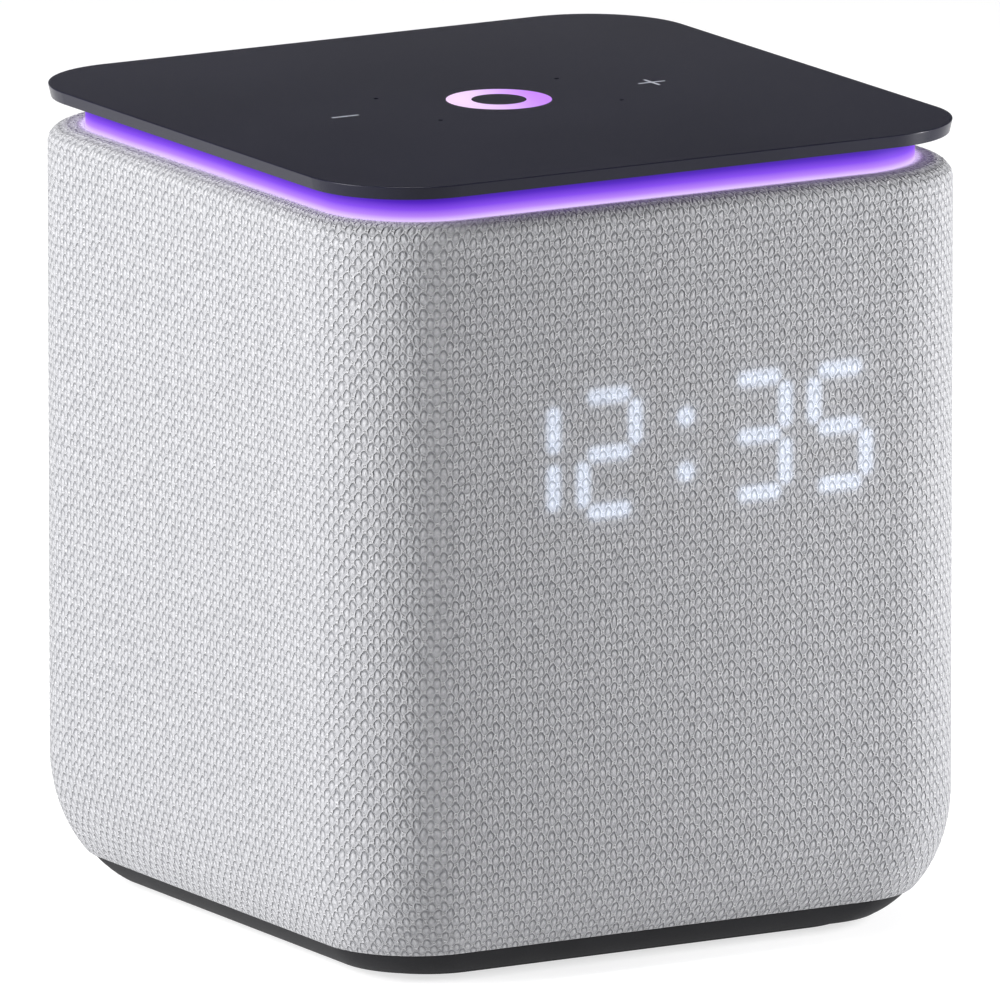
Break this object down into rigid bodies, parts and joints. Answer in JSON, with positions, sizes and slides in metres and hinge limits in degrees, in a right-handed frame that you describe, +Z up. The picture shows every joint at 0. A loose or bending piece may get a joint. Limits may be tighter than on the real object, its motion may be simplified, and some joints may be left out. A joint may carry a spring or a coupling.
{
  "type": "smart speaker",
  "caption": "Fabric-wrapped cube speaker with a floating touch plate, a light ring under it and a clock display behind the knit.",
  "frame": {"origin": "centre of the underside, on the surface the speaker stands on", "axes": "+Z up; -Y is the front with the clock display; +Y is the back with the power inlet; +X is the right seen from the front"},
  "size_m": [0.1172, 0.1172, 0.133],
  "materials": {
    "knit": "light grey net knit",
    "plate": "satin charcoal",
    "mark": "matt light grey",
    "icon_light": "translucent, lit pink to violet",
    "ring_light": "translucent, lit violet",
    "display_light": "translucent, lit cool white",
    "display_dark": "translucent, unlit",
    "black_plastic": "fine texture",
    "shell_plastic": "moulded grey",
    "rubber": "soft matt",
    "circuit_board": "solder mask",
    "chip": "epoxy",
    "led_white": "clear lens",
    "steel": "zinc plated",
    "aluminium": "anodised",
    "copper": "enamelled winding",
    "ferrite": "sintered",
    "paper_cone": "pressed pulp",
    "spider_cloth": "impregnated cloth",
    "ribbon": "polyimide film"
  },
  "bodies": {
    "body": {"fabric_sleeve": "knit", "outer_shell": "shell_plastic", "base_cover": "black_plastic", "rubber_foot": "rubber", "base_screws": "steel", "top_plate": "plate", "touch_icon_ring": "icon_light", "volume_marks": "mark", "light_ring": "ring_light", "ring_led_board": "circuit_board", "ring_leds": "led_white", "touch_board": "circuit_board", "icon_leds": "led_white", "mic_capsules": "steel", "mic_gaskets": "rubber", "top_deck": "black_plastic", "top_plate_screws": "steel", "wifi_antennas": "circuit_board", "display_housing": "black_plastic", "display_segments_lit": "display_light", "display_segments_unlit": "display_dark", "display_board": "circuit_board", "display_leds": "led_white", "enclosure_body": "black_plastic", "front_baffle": "black_plastic", "woofer_gasket": "rubber", "woofer_basket": "steel", "woofer_surround": "rubber", "woofer_spider": "spider_cloth", "woofer_front_plate": "steel", "woofer_magnet": "ferrite", "woofer_yoke": "steel", "woofer_screws": "steel", "radiator_left_frame": "black_plastic", "radiator_left_surround": "rubber", "radiator_right_frame": "black_plastic", "radiator_right_surround": "rubber", "radiator_screws": "steel", "tweeter_left_motor": "black_plastic", "tweeter_right_motor": "black_plastic", "main_board": "circuit_board", "processor_shield": "steel", "board_components": "chip", "heat_sink": "aluminium", "m2_screws": "steel", "ribbon_cables": "ribbon", "rear_bezel": "black_plastic", "rear_board": "circuit_board", "usb_c_inlet": "steel", "mute_switch": "chip"},
    "woofer_mover": {"woofer_cone": "paper_cone", "woofer_dust_cap": "paper_cone", "woofer_voice_coil": "copper"},
    "radiator_left_mover": {"radiator_left_diaphragm": "aluminium"},
    "radiator_right_mover": {"radiator_right_diaphragm": "aluminium"},
    "tweeter_left_mover": {"tweeter_left_dome": "aluminium"},
    "tweeter_right_mover": {"tweeter_right_dome": "aluminium"},
    "mute_button_mover": {"mute_button": "black_plastic"}
  },
  "joints": [
    {"name": "woofer_travel", "type": "slide", "parent": "body", "child": "woofer_mover", "axis": [0, -1, 0], "range_m": [-0.003, 0.003], "stiffness_N_per_m": 900, "deforming": ["woofer_surround", "woofer_spider"]},
    {"name": "radiator_left_travel", "type": "slide", "parent": "body", "child": "radiator_left_mover", "axis": [-1, 0, 0], "range_m": [-0.004, 0.004], "stiffness_N_per_m": 400, "deforming": ["radiator_left_surround"]},
    {"name": "radiator_right_travel", "type": "slide", "parent": "body", "child": "radiator_right_mover", "axis": [1, 0, 0], "range_m": [-0.004, 0.004], "stiffness_N_per_m": 400, "deforming": ["radiator_right_surround"]},
    {"name": "tweeter_left_travel", "type": "slide", "parent": "body", "child": "tweeter_left_mover", "axis": [-1, 0, 0], "range_m": [-0.0003, 0.0003], "stiffness_N_per_m": 1500},
    {"name": "tweeter_right_travel", "type": "slide", "parent": "body", "child": "tweeter_right_mover", "axis": [1, 0, 0], "range_m": [-0.0003, 0.0003], "stiffness_N_per_m": 1500},
    {"name": "mute_button_press", "type": "slide", "parent": "body", "child": "mute_button_mover", "axis": [0, -1, 0], "range_m": [0, 0.0008], "stiffness_N_per_m": 900, "springref_m": -0.0003}
  ],
  "couplings": [
    {"joint": "radiator_left_travel", "follows": "woofer_travel", "ratio": -0.35},
    {"joint": "radiator_right_travel", "follows": "woofer_travel", "ratio": -0.35}
  ]
}
